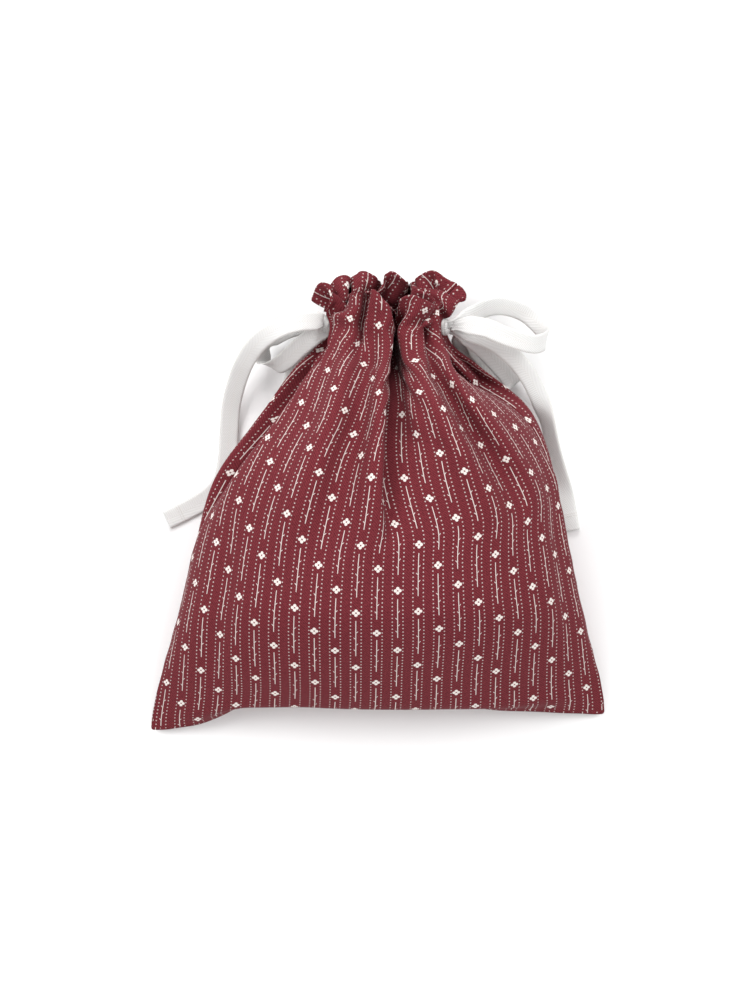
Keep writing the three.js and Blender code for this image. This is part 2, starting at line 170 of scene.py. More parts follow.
# Soft ridges and hollows of the front: pixel x, y, height in mm, half width in pixels, from the neck down.
RELIEF = (
    [(386, 320, 1.5, 10), (384, 360, 4, 14), (381, 420, 6, 18), (376, 480, 4.5, 24), (372, 540, 1.5, 30), (370, 590, 0, 30)],
    [(410, 320, 1, 8), (424, 360, 3.5, 11), (442, 405, 6, 15), (464, 450, 6, 18), (486, 500, 4, 23), (506, 570, 0, 26)],
    [(428, 325, -1, 7), (450, 375, -4, 9), (476, 420, -5, 11), (503, 475, -3, 16), (520, 530, 0, 18)],
    [(443, 330, 1, 6), (474, 380, 4.5, 9), (503, 425, 5, 12), (528, 480, 3, 16), (545, 540, 0, 18)],
    [(372, 320, -1, 7), (366, 365, -3, 10), (356, 430, -4.5, 15), (338, 500, -3, 21), (320, 570, 0, 26)],
    [(350, 320, 1, 8), (337, 365, 3.5, 12), (318, 430, 5, 17), (293, 500, 3.5, 23), (272, 580, 0, 28)],
    [(546, 430, 0, 6), (552, 480, -4, 7), (560, 540, -5, 8), (570, 610, -4, 8), (580, 670, 0, 8)],
    [(230, 520, 0, 12), (225, 580, -2.5, 14), (215, 640, -2.5, 14), (205, 700, 0, 12)],
)
# run of the bottom edge: mm along x, mm up
BOTTOM_X = [-122, -113, -94, -83, -72, -62, -41, -15, 11, 37, 64, 90, 116]
BOTTOM_DY = [-1.5, -1.5, -0.8, 2.2, 7.0, 7.0, 7.4, 4.4, 2.2, 0.6, -1.6, -0.6, 0.0]


def relief(p):
    f = MM_PX * (CAM_D - 30) / CAM_D
    px, py = 375 + (p[:, 0] - X_MID) / f, 500 - (p[:, 1] - Y_MID) / f
    z = np.zeros(len(p))
    for line in RELIEF:
        k = np.array(line, float)
        c, amp, wid = (np.interp(py, k[:, 1], k[:, n]) for n in (0, 2, 3))
        amp = np.where((py < k[0, 1]) | (py > k[-1, 1]), 0, amp)
        z += 1.5 * amp * np.exp(-(((px - c) / wid) ** 2))
    return z


def row_line(side, v, m=321):
    w = np.linspace(0, 1, m)
    c, s = -np.cos(np.pi * w), np.sin(np.pi * w)
    mid = (1 + c) / 2
    tl, tr, tm = (np.interp(v, vv, TS) for vv in (V_LEFT, V_RIGHT, V_MID[side][0]))
    p = outline(side, w, (1 - s * s) * ((1 - mid) * tl + mid * tr) + s * s * tm)
    if v < 45:
        low = np.interp(p[:, 0], BOTTOM_X, BOTTOM_DY) * (1 - v / 45) ** 1.5
        p[:, 1] += low
    if side == 0:
        p[:, 2] += relief(p) * np.minimum(1, s * 1.6)
    for end in (0, 1):
        inset, lift = fold_at(side, end, v)
        near = (1 - mid) if end == 0 else mid
        p[:, 0] += (inset if end == 0 else -inset) * near**3
        p[:, 2] += lift * near**5
    k = 0.02 * math.exp(-(((v - (V8 + V9) / 2) / 6.5) ** 2))  # drawn in by the tape
    p[:, 0] = 3.8 + (p[:, 0] - 3.8) * (1 - k)
    p[:, 2] = 27 + (p[:, 2] - 27) * (1 - 1.2 * k)
    return p


# Tucks that take up the gathered width of the back, in cloth order. a: place of the tip across the flat cloth,
# deep: (mm of cloth below the casing, mm) pairs, way: where the tuck goes, mouth: (below, width) pairs of the open side.
TUCKS = [
    dict(a=40, deep=((0, 15), (95, 0)), way=(0.4, 0, 0.9)),
    dict(a=80, deep=((0, 15), (115, 0)), way=(0.2, 0, 1)),
    dict(a=118, deep=((0, 14), (150, 0)), way=(-0.1, 0, 1), mouth=((0, 1), (60, 8), (150, 14))),
    dict(a=176, deep=((0, 15), (115, 0)), way=(-0.2, 0, 1)),
    dict(a=214, deep=((0, 15), (95, 0)), way=(-0.4, 0, 0.9)),
]
# The deep fold in the middle of the front: its edge in pixels, width of its open side, how far down it reaches, and
# the slopes at which the stripes fan out to the left and to the right of it.
EDGE = ((396, 310), (393, 345), (389, 385), (386.5, 420), (385.5, 455), (385, 490), (386, 520), (388, 550))
MOUTH = ((-14, 3), (0, 8), (11, 10.5), (24, 13), (39, 15.5), (52, 19.5), (73, 24), (97, 22), (112, 12))
FOLD_END = 112.0
FAN = (
    ((0, 28), (20, 21), (40, 13.7), (58, 7.2), (65, 5.2), (72, 4), (112, 0)),
    ((0, 37), (10, 30.8), (20, 24.6), (30, 19), (49, 15.4), (68, 12.3), (92, 5.6), (112, 0)),
)
# small tucks of the front that belong to the casing and the frill: (below, mm) pairs, left and right half
PUCKER = (((-14, 8), (0, 1.5), (5, 0)), ((-14, 12), (0, 2), (6, 0)))


def table(pairs_, at_):
    return float(np.interp(at_, [k[0] for k in pairs_], [k[1] for k in pairs_]))


def lengths(line):
    return np.concatenate([[0], np.cumsum(np.linalg.norm(np.diff(line, axis=0), axis=1))])


def along(line, l, s):
    return np.stack([np.interp(s, l, line[:, k]) for k in range(3)], -1)


def edge_at(line, l):
    """Length along the row at which it meets the edge of the middle fold."""
    trail = np.array([at(x, y, 50.0)[:2] for x, y in EDGE])[::-1]
    g = line[:, 0] - np.interp(line[:, 1], trail[:, 1], trail[:, 0])
    return float(l[np.where((g[:-1] < 0) & (g[1:] >= 0))[0][0]])


def plain_place():
    """Cloth place across the row where the middle fold ends, by x."""
    line = row_line(0, V8 - FOLD_END)
    l = lengths(line)
    return line[:, 0], l * (W / l[-1])


PLAIN_X, PLAIN_A = plain_place()


def fold_wall(base, end, d, q, n):
    """The two sides of the middle fold: straight down under its edge, then up to the right."""
    way = np.array([-0.12, 0, -1.0])
    way /= np.linalg.norm(way)
    x = np.linspace(0, d, n)
    down = base + x[:, None] * way
    f = np.linspace(0, 1, n)[1:]
    bow = float(np.interp(q, [40, 95], [0.5, 0.1]))
    up = down[-1] + (end - down[-1]) * np.stack([f ** (1 - bow), f, f ** (1 + 1.6 * bow)], -1)
    return down, up


def row_points(side, v):
    """One row of cloth of width W: points, and 1 where it lies on the outer shape, 0 inside a tuck."""
    line = row_line(side, v)
    l = lengths(line)
    total = l[-1]
    q = max(V8 - v, 0.0)
    up = -1.0 if side else 1.0
    pts, cl, vis = [], [], []

    def take(p, c, k):
        pts.append(p)
        cl.append(c)
        vis.append(np.full(len(p), k))

    def seam(end, deep, cur):
        x = np.linspace(deep, 0.3, max(3, int(deep / 0.8)))
        if end:
            x = x[::-1]
        drop = (1.25, 1.9)[end] * float(np.interp(V8 - v, *INSET[end])) * min(1.0, deep / 9.0)
        d = np.stack([(-1 if end else 1) * x, 0 * x, up * np.minimum(0.7, x) - (fold_at(side, end, v)[1] + drop) * x / deep], -1)
        take(line[-1 if end else 0] + d, cur + (x if end else deep - x), 2.5)

    def shown(a, b, cur):
        w = np.linspace(a, max(b, a + 0.2), max(3, int((b - a) / 0.8)))
        take(along(line, l, w), cur + (w - a), 1.0)

    def tuck(s, d, way, cur, wide=0.0):
        way = np.array(way) / np.linalg.norm(way)
        gap = min(0.8, 0.3 * d)
        x = np.linspace(0, d, max(4, int(d / 0.8)))
        base = along(line, l, np.array([s]))[0]
        tan = along(line, l, np.array([min(s + 0.5, total)]))[0] - along(line, l, np.array([max(s - 0.5, 0)]))[0]
        tan /= np.linalg.norm(tan) + 1e-9
        shut = np.minimum(1, (d - x) / 1.5 + 0.15)[:, None]
        take(base - gap * shut * tan + x[:, None] * way, cur + x + 1e-4, 0.0)
        tip = base + d * way
        end = along(line, l, np.array([min(s + wide, total - 0.6)]))[0]
        f = x / d
        wall = tip + (end - tip) * f[:, None] + gap * tan * np.minimum(1, f * d / 1.5 + 0.15)[:, None] * (1 if wide < 1 else 0.3)
        lw = float(np.linalg.norm(end - tip))
        take(wall, cur + d + f * lw + 2e-4, 0.0 if wide < 1 else 0.9)
        return cur + d + lw, min(s + wide, total - 0.6) + gap

    if side == 0 and q < FOLD_END:
        s_e = edge_at(line, l)
        m = min(table(MOUTH, V8 - v), 0.8 * (total - s_e))
        x_e, x_r = along(line, l, np.array([s_e, s_e + m]))[:, 0]
        a_e, a_r = np.interp([x_e, x_r], PLAIN_X, PLAIN_A) + np.array([-table(FAN[0], q), table(FAN[1], q)])
        left = max(a_e - s_e, 0.0)
        right = max(W - a_r - (total - s_e - m), 0.0)
        inner = max(W - left - right - (total - m), m)
        base, end = along(line, l, np.array([s_e, s_e + m]))
        lo, hi = 0.0, 60.0
        for _ in range(24):
            d = (lo + hi) / 2
            down, rise = fold_wall(base, end, d, q, 40)
            lw = d + float(lengths(np.concatenate([down[-1:], rise]))[-1])
            lo, hi = (d, hi) if lw < inner else (lo, d)
        puck = [min(table(k, V8 - v), 0.3 * h) for k, h in zip(PUCKER, (left, right))]
        cur = here = 0.0
        rest = left - 2 * puck[0]
        sink, deep = min(18.0, 0.5 * rest), (rest - min(18.0, 0.5 * rest)) / 2
        if sink > 0.2:
            seam(0, sink, 0.0)
            cur = sink
        lip = min(4.0, 0.2 * s_e)
        if deep > 0.2:
            shown(0.0, lip - 0.4, cur)
            cur, here = tuck(lip, deep, (1, 0, -0.35), cur + lip)
        if puck[0] > 0.2:
            s = 0.55 * s_e
            shown(here, s - 0.3, cur)
            cur, here = tuck(s, puck[0], (0.5, 0, -0.85), cur + s - here)
        shown(here, s_e - 0.2, cur)
        cur += s_e - here
        take(down, cur + np.linspace(0, d, len(down)) + 1e-4, 0.0)
        steps = lengths(np.concatenate([down[-1:], rise]))[1:]
        take(rise, cur + d + steps + 2e-4, 0.9)
        cur, here = cur + lw, s_e + m
        if puck[1] > 0.2:
            s = here + 0.5 * (total - here)
            shown(here + 0.2, s - 0.3, cur)
            cur, here = tuck(s, puck[1], (-0.5, 0, -0.8), cur + s - here)
        rest = right - 2 * puck[1]
        sink, deep = min(18.0, 0.5 * rest), (rest - min(18.0, 0.5 * rest)) / 2
        if deep > 0.2:
            s = total - min(4.0, 0.2 * (total - here))
            shown(here + 0.2, s - 0.4, cur)
            cur, here = tuck(s, deep, (-1, 0, -0.35), cur + s - here)
        shown(min(here + 0.2, total - 0.3), total, cur)
        cur += total - here
        if sink > 0.2:
            seam(1, sink, cur)
            cur += sink
        note = (left, d, right)
    else:

        def build(scale):
            pts.clear(), cl.clear(), vis.clear()
            cur = here = 0.0
            sink = [table(k, q) * scale for k in SINK]
            if sink[0] > 0.2:
                seam(0, sink[0], 0.0)
                cur = sink[0]
            for k in TUCKS if side else []:
                d = table(k["deep"], q) * scale
                if d < 0.15:
                    continue
                s = min(here + max(k["a"] - d - cur, 1.2), total - 1.0)
                shown(here, s - min(0.8, 0.3 * d), cur)
                cur, here = tuck(s, d, k["way"], cur + s - here, min(table(k["mouth"], q), 2.4 * d) if "mouth" in k else 0.0)
            shown(min(here, total - 0.3), total, cur)
            cur += total - here
            if sink[1] > 0.2:
                seam(1, sink[1], cur)
                cur += sink[1]
            return cur

        lo, hi = 0.0, 2.6
        for _ in range(22):
            mid = (lo + hi) / 2
            lo, hi = (mid, hi) if build(mid) < W else (lo, mid)
        cur = build(mid)
        note = (mid, 0.0, 0.0)
    c = np.maximum.accumulate(np.concatenate(cl)) * (W / cur)
    c = c + np.arange(len(c)) * 1e-7
    pp, vv = np.concatenate(pts), np.concatenate(vis)
    a = np.linspace(0, W, NU)
    return np.stack([np.interp(a, c, pp[:, k]) for k in range(3)], -1), np.interp(a, c, vv), note, W / cur


# Rim of the frill in cloth order, left seam to right seam: place across the cloth, pixel x, y and height.
RIM = (
    [
        (0, 306, 300, 26), (10, 319, 283, 34), (18, 331, 289, 33), (36, 344, 303, 24), (50, 351, 297, 43), (57, 357, 291, 47),
        (63, 364, 289, 48), (71, 367, 297, 40), (82, 372, 289, 49), (92, 381, 298, 50), (103, 389, 309, 46), (129, 395, 314, 27),
        (154, 400, 303, 46), (161, 407, 296, 50), (172, 420, 299, 51), (178, 430, 304, 48), (184, 436, 308, 36), (198, 425, 291, 42),
        (204, 414, 286, 42), (214, 420, 288, 30), (230, 440, 293, 31), (241, 464, 304, 30), (246, 472, 293, 30), (250, 461, 278, 27),
    ],
    [
        (0, 306, 300, 26), (12, 318, 296, 18), (22, 326, 294, 12), (36, 335, 285, 22), (43, 342, 278, 21), (51, 349, 281, 22),
        (64, 352, 292, 8), (74, 352, 284, 18), (80, 357, 276, 18), (87, 366, 275, 18), (96, 377, 277, 19), (106, 383, 292, 6),
        (116, 387, 284, 20), (122, 389, 276, 22), (130, 395, 274, 23), (138, 404, 279, 23), (150, 411, 292, 6), (164, 413, 284, 17),
        (180, 420, 290, 4), (194, 425, 288, 16), (208, 420, 287, 6), (221, 416, 278, 20), (227, 421, 272, 23), (233, 431, 269.5, 25),
        (240, 442, 274, 26),
        (250, 461, 278, 27),
    ],
)


def through(a, pts, where):
    """Smooth curve through pts at parameters a."""
    a, pts = np.asarray(a, float), np.asarray(pts, float)
    m = np.zeros_like(pts)
    m[1:-1] = (pts[2:] - pts[:-2]) / (a[2:] - a[:-2])[:, None]
    m[0], m[-1] = (pts[1] - pts[0]) / (a[1] - a[0]), (pts[-1] - pts[-2]) / (a[-1] - a[-2])
    i = np.clip(np.searchsorted(a, where, side="right") - 1, 0, len(a) - 2)
    h = a[i + 1] - a[i]
    f = ((where - a[i]) / h)[:, None]
    h = h[:, None]
    f2, f3 = f * f, f * f * f
    return (2 * f3 - 3 * f2 + 1) * pts[i] + (f3 - 2 * f2 + f) * h * m[i] + (-2 * f3 + 3 * f2) * pts[i + 1] + (f3 - f2) * h * m[i + 1]


# rows lie closer together at the neck
VS = np.concatenate([np.linspace(0, 186, 63)[:-1], np.linspace(186, V11, 49)])
assert len(VS) == NV


def first_shape():
    P = np.zeros((2, NV, NU, 3))
    vis = np.ones((2, NV, NU))
    for side in (0, 1):
        top, top_vis, k9, f9 = row_points(side, V9)
        print("side", side, "at the casing:", ["%.1f" % n for n in k9], "fit %.3f" % f9)
        rim = RIM[side]
        rim_line = through([p[0] for p in rim], np.array([at(*p[1:]) for p in rim]), np.linspace(0, W, NU))
        for j, v in enumerate(VS):
            if v <= V9:
                P[side, j], vis[side, j], k, f = row_points(side, v)
                if j % 12 == 0:
                    print("   v %.0f" % v, ["%.1f" % n for n in k], "fit %.3f" % f)
            else:
                r = (v - V9) / (V11 - V9)
                k = r * r * (3 - 2 * r) * 0.4 + r * 0.6
                P[side, j] = top + (rim_line - top) * k
                vis[side, j] = top_vis
    return P, vis


def weld(P):
    for i in (0, -1):
        m = (P[0, :, i] + P[1, :, i]) / 2
        P[0, :, i] = m
        P[1, :, i] = m
    m = (P[0, 0] + P[1, 0]) / 2
    P[0, 0] = m
    P[1, 0] = m


def pull(P, A, B, rest, k_long, k_short):
    d = P[B] - P[A]
    L = np.sqrt((d * d).sum(-1)) + 1e-9
    c = L - rest
    d *= (np.where(c > 0, k_long, k_short) * c / L * 0.5)[..., None]
    P[A] += d
    P[B] -= d


def pairs():
    S = slice(None)
    du = W / (NU - 1)
    dv = np.diff(VS)
    dd = np.hypot(du, dv)
    d2 = VS[2:] - VS[:-2]
    stretch, shear, bend = [], [], []
    for f in (0, 1):
        n = (NU - 1 - f) // 2
        stretch.append(((S, S, slice(f, f + 2 * n, 2)), (S, S, slice(f + 1, f + 1 + 2 * n, 2)), du))
        n = (NV - 1 - f) // 2
        lo, hi = slice(f, f + 2 * n, 2), slice(f + 1, f + 1 + 2 * n, 2)
        stretch.append(((S, lo), (S, hi), dv[lo][None, :, None]))
        shear.append(((S, lo, slice(0, NU - 1)), (S, hi, slice(1, NU)), dd[lo][None, :, None]))
        shear.append(((S, lo, slice(1, NU)), (S, hi, slice(0, NU - 1)), dd[lo][None, :, None]))
    for f in range(4):
        a = np.arange(f, NU - 2, 4)
        bend.append(((S, S, slice(a[0], a[-1] + 1, 4)), (S, S, slice(a[0] + 2, a[-1] + 3, 4)), 2 * du))
        a = np.arange(f, NV - 2, 4)
        bend.append(((S, slice(a[0], a[-1] + 1, 4)), (S, slice(a[0] + 2, a[-1] + 3, 4)), d2[a][None, :, None]))
    return stretch, shear, bend


J0 = int(np.searchsorted(VS, 130.0))
GRID_J, GRID_I = np.meshgrid(np.arange(J0, NV), np.arange(NU), indexing="ij")
SIDE_OF = np.repeat([0, 1], GRID_J.size)
ROW_OF, COL_OF = np.tile(GRID_J.ravel(), 2), np.tile(GRID_I.ravel(), 2)


def part_layers(P, near):
    """Pushes layers of cloth apart that are closer than near."""
    X = P[:, J0:].reshape(-1, 3)
    c = np.floor(X / near).astype(np.int64)
    c -= c.min(0) - 1
    ny, nz = c[:, 1].max() + 2, c[:, 2].max() + 2
    key = (c[:, 0] * ny + c[:, 1]) * nz + c[:, 2]
    order = np.argsort(key, kind="stable")
    uk, start, cnt = np.unique(key[order], return_index=True, return_counts=True)
    I, J = [], []
    every = np.arange(len(X))
    for dx in (-1, 0, 1):
        for dy in (-1, 0, 1):
            for dz in (-1, 0, 1):
                off = (dx * ny + dy) * nz + dz
                if off < 0:
                    continue
                nk = key + off
                pos = np.minimum(np.searchsorted(uk, nk), len(uk) - 1)
                ok = uk[pos] == nk
                for m in range(int(cnt.max())):
                    sel = ok & (m < cnt[pos])
                    if not sel.any():
                        break
                    i = every[sel]
                    j = order[start[pos[sel]] + m]
                    if off == 0:
                        keep = i < j
                        i, j = i[keep], j[keep]
                    I.append(i)
                    J.append(j)
    I, J = np.concatenate(I), np.concatenate(J)
    d = X[I] - X[J]
    L = np.sqrt((d * d).sum(1)) + 1e-6
    same = SIDE_OF[I] == SIDE_OF[J]
    close = (np.abs(ROW_OF[I] - ROW_OF[J]) <= 2) & (np.abs(COL_OF[I] - COL_OF[J]) <= 2)
    edge = (np.minimum(COL_OF[I], NU - 1 - COL_OF[I]) <= 2) & (np.minimum(COL_OF[J], NU - 1 - COL_OF[J]) <= 2)
    keep = (L < near) & ~(same & close) & ~(edge & (np.abs(ROW_OF[I] - ROW_OF[J]) <= 2))
    I, J, d, L = I[keep], J[keep], d[keep], L[keep]
    push = d * (0.4 * (near - L) / L)[:, None]
    for k in range(3):
        X[:, k] += np.bincount(I, push[:, k], len(X)) - np.bincount(J, push[:, k], len(X))
    P[:, J0:] = X.reshape(2, NV - J0, NU, 3)
    return len(I)


def relax(P, vis, rounds):
    """Settles the cloth: keeps its weave length, resists folding, holds the casing, rests on the floor."""
    stretch, shear, bend = pairs()
    target = P.copy()
    hold = 0.004 + 0.02 * vis
    casing = (VS >= V8 - 2) & (VS <= V9 + 1)
    hold[:, casing] = 0.10
    head = VS > V9 + 1
    hold[:, head] = 0.006
    hold[:, VS > V11 - 4] = 0.014
    hold = hold[..., None]
    firm = np.where(VS > V8, 0.34, 0.22)[None, :, None]
    short = np.where(VS > V8 - 4, 0.6, 0.22)[None, :, None]
    for n in range(rounds):
        P += hold * (target - P)
        P[..., 2] -= 0.003
        for A, B, rest in stretch:
            pull(P, A, B, rest, 0.9, short[:, A[1]] if A[1] != slice(None) else short)
        for A, B, rest in shear:
            pull(P, A, B, rest, 0.25, 0.15)
        for A, B, rest in bend:
            pull(P, A, B, rest, 0.05, firm[:, A[1]] if A[1] != slice(None) else firm)
        if n % 6 == 5:
            hits = part_layers(P, 1.7)
        weld(P)
        np.maximum(P[..., 2], 0.6, out=P[..., 2])
    print("layers closer than they should be at the end:", hits)
    return P


def smooth(P, rounds):
    """Takes out ripples of a few millimetres and keeps the folds."""
    for _ in range(rounds):
        for k in (0.5, -0.53):
            Q = np.zeros_like(P)
            Q[:, :, 1:-1] += (P[:, :, 2:] + P[:, :, :-2]) / 2 - P[:, :, 1:-1]
            Q[:, 1:-1] += (P[:, 2:] + P[:, :-2]) / 2 - P[:, 1:-1]
            P = P + 0.5 * k * Q
            weld(P)
        np.maximum(P[..., 2], 0.6, out=P[..., 2])
    return P


import time

t0 = time.time()
CLOTH, VIS = first_shape()
weld(CLOTH)
print("first shape %.1f s" % (time.time() - t0))
t0 = time.time()
CLOTH = smooth(relax(CLOTH, VIS, 420), 24)
for _ in range(16):
    part_layers(CLOTH, 1.7)
    CLOTH = smooth(CLOTH, 2)
print("relax %.1f s" % (time.time() - t0))
for side in (0, 1):
    du = np.linalg.norm(np.diff(CLOTH[side], axis=1), axis=-1) / (W / (NU - 1))
    dv = np.linalg.norm(np.diff(CLOTH[side], axis=0), axis=-1) / np.diff(VS)[:, None]
    print("stretch u: %.3f..%.3f mean %.3f  v: %.3f..%.3f mean %.3f" % (np.percentile(du, 1), np.percentile(du, 99), du.mean(), np.percentile(dv, 1), np.percentile(dv, 99), dv.mean()))


# ------------------------------------------------------------------ node helper
class Tree:
    def __init__(self, name):
        self.mat = bpy.data.materials.new(name)
        self.mat.use_nodes = True
        self.t = self.mat.node_tree
        self.t.nodes.clear()

    def node(self, kind, **inputs):
        n = self.t.nodes.new(kind)
        for k, v in inputs.items():
            self.put(n.inputs[k.replace("_", " ")], v)
        return n

    def put(self, socket, v):
        if isinstance(v, bpy.types.NodeSocket):
            self.t.links.new(v, socket)
        else:
            socket.default_value = v

    def m(self, op, a, b=None, c=None, clamp=False):
        n = self.t.nodes.new("ShaderNodeMath")
        n.operation = op
        n.use_clamp = clamp
        for i, v in enumerate((a, b, c)):
            if v is not None:
                self.put(n.inputs[i], v)
        return n.outputs[0]

    def add(self, a, b):
        return self.m("ADD", a, b)

    def sub(self, a, b):
        return self.m("SUBTRACT", a, b)

    def mul(self, a, b):
        return self.m("MULTIPLY", a, b)

    def step(self, d, soft=0.1):
        """1 where the distance d is below 0, fading over soft."""
        n = self.t.nodes.new("ShaderNodeMapRange")
        n.interpolation_type = "SMOOTHSTEP"
        self.put(n.inputs["Value"], d)
        n.inputs["From Min"].default_value = soft
        n.inputs["From Max"].default_value = -soft
        return n.outputs[0]

    def mix(self, f, a, b):
        n = self.t.nodes.new("ShaderNodeMix")
        n.data_type = "RGBA"
        self.put(n.inputs["Factor"], f)
        self.put([s for s in n.inputs if s.name == "A" and s.type == "RGBA"][0], a)
        self.put([s for s in n.inputs if s.name == "B" and s.type == "RGBA"][0], b)
        return [s for s in n.outputs if s.type == "RGBA"][0]

    def noise(self, vec, scale, detail=2.0, rough=0.5):
        n = self.t.nodes.new("ShaderNodeTexNoise")
        self.put(n.inputs["Vector"], vec)
        n.inputs["Scale"].default_value = scale
        n.inputs["Detail"].default_value = detail
        n.inputs["Roughness"].default_value = rough
        return n.outputs["Fac"]

    def uv(self, name):
        n = self.t.nodes.new("ShaderNodeUVMap")
        n.uv_map = name
        s = self.t.nodes.new("ShaderNodeSeparateXYZ")
        self.t.links.new(n.outputs["UV"], s.inputs[0])
        return n.outputs["UV"], s.outputs[0], s.outputs[1]

    def finish(self, colour, rough, height, strength, distance, sheen=0.2, spec=0.25):
        b = self.node("ShaderNodeBsdfPrincipled")
        self.put(b.inputs["Base Color"], colour)
        self.put(b.inputs["Roughness"], rough)
        self.put(b.inputs["Specular IOR Level"], spec)
        self.put(b.inputs["Sheen Weight"], sheen)
        self.put(b.inputs["Sheen Roughness"], 0.5)
        bump = self.t.nodes.new("ShaderNodeBump")
        bump.inputs["Strength"].default_value = strength
        bump.inputs["Distance"].default_value = distance
        self.put(bump.inputs["Height"], height)
        self.t.links.new(bump.outputs["Normal"], b.inputs["Normal"])
        out = self.t.nodes.new("ShaderNodeOutputMaterial")
        self.t.links.new(b.outputs[0], out.inputs["Surface"])
        return self.mat


def lin(r, g, b):
    f = lambda c: c / 12.92 if c <= 0.04045 else ((c + 0.055) / 1.055) ** 2.4
    return (f(r / 255), f(g / 255), f(b / 255), 1.0)


# ------------------------------------------------------------------ cloth material
PITCH = 10.7  # stripe columns
REPEAT = 36.0  # along a column


def cloth_material():
    t = Tree("printed_cotton")
    uv, U, V = t.uv("flat")
    U, V = t.mul(U, 100.0), t.mul(V, 100.0)  # millimetres of flat cloth
    col = t.m("FLOOR", t.m("DIVIDE", U, PITCH))
    x = t.sub(t.sub(U, t.mul(col, PITCH)), PITCH / 2)
    ax = t.m("ABSOLUTE", x)
    drop = t.mul(t.m("FLOORED_MODULO", col, 3.0), REPEAT / 3)
    y = t.sub(t.m("FLOORED_MODULO", t.add(V, drop), REPEAT), REPEAT / 2)
    rag = t.mul(t.sub(t.noise(uv, 900.0, 1.0), 0.5), 0.25)

    def dist(px, py):
        a, b = t.sub(x, px), t.sub(y, py)
        return t.m("SQRT", t.add(t.mul(a, a), t.mul(b, b)))

    # dotted pin stripes
    yd = t.sub(t.m("FLOORED_MODULO", V, 2.2), 1.1)
    xd = t.sub(ax, 2.75)
    dots = t.sub(t.m("SQRT", t.add(t.mul(xd, xd), t.mul(yd, yd))), 0.36)
    # stem with small leaves
    run = t.sub(t.m("ABSOLUTE", t.add(y, 4.0)), 11.5)
    stem = t.m("MAXIMUM", t.sub(ax, 0.20), run)
    for n, yl in enumerate((-11.5, -7.5, -3.5, 0.5)):
        sx = 1.0 if n % 2 else -1.0
        a = t.sub(t.mul(x, sx), 0.62)
        b = t.sub(t.sub(y, yl), t.mul(a, 0.9))
        stem = t.m("MINIMUM", stem, t.sub(t.m("SQRT", t.add(t.mul(t.mul(a, a), 0.55), t.mul(t.mul(b, b), 2.4))), 0.40))
    # round blossom of four petals
    by = 12.0
    bloom = None
    for px, py in ((0.0, 1.2), (0.0, -1.2), (1.2, 0.0), (-1.2, 0.0)):
        k = t.sub(dist(px, by + py), 0.86)
        bloom = k if bloom is None else t.m("MINIMUM", bloom, k)
    bloom = t.m("MAXIMUM", bloom, t.sub(0.40, dist(0.0, by)))
    ink = t.m("MAXIMUM", t.mul(t.step(t.add(dots, rag), 0.14), 0.62), t.mul(t.step(t.add(stem, rag), 0.12), 0.86))
    ink = t.m("MAXIMUM", ink, t.step(t.add(bloom, rag), 0.12))
    # yarns
    YARN = 1.05
    su = t.m("SINE", t.mul(U, 2 * math.pi / YARN))
    sv = t.m("SINE", t.mul(V, 2 * math.pi / YARN))
    twill = t.m("SINE", t.mul(t.add(U, V), 2 * math.pi / 1.5))
    weave = t.add(t.mul(t.add(t.mul(su, sv), twill), 0.25), 0.5)
    slub = t.noise(uv, 120.0, 3.0, 0.75)
    fine = t.noise(uv, 55.0, 3.0, 0.7)
    broad = t.noise(uv, 6.0, 2.0)
    dark, light = lin(68, 20, 25), lin(123, 49, 56)
    f = t.add(t.mul(weave, 0.80), t.add(t.mul(slub, 1.9), t.mul(fine, 0.5)))
    base = t.mix(t.m("SUBTRACT", f, 1.10, clamp=True), dark, light)
    base = t.mix(t.mul(broad, 0.18), base, lin(98, 34, 43))
    worn = t.mul(ink, t.m("MULTIPLY_ADD", slub, -0.35, 1.06, clamp=True))
    colour = t.mix(t.mul(worn, 0.90), base, lin(238, 232, 226))
    # sewn rows along the casing
    stitch = None
    for row in (V8, V9, V11 - 2.5):
        dash = t.sub(t.m("ABSOLUTE", t.sub(t.m("FLOORED_MODULO", U, 3.0), 1.5)), 1.05)
        k = t.m("MAXIMUM", t.sub(t.m("ABSOLUTE", t.sub(V, row)), 0.28), dash)
        stitch = k if stitch is None else t.m("MINIMUM", stitch, k)
    thread = t.step(stitch, 0.08)
    colour = t.mix(t.mul(thread, 0.8), colour, lin(98, 40, 45))
    height = t.add(t.add(t.mul(weave, 0.5), t.mul(slub, 0.5)), t.mul(thread, 1.2))
    return t.finish(colour, 0.88, height, 0.35, 0.00018, sheen=0.04, spec=0.10)


CLOTH_MAT = cloth_material()


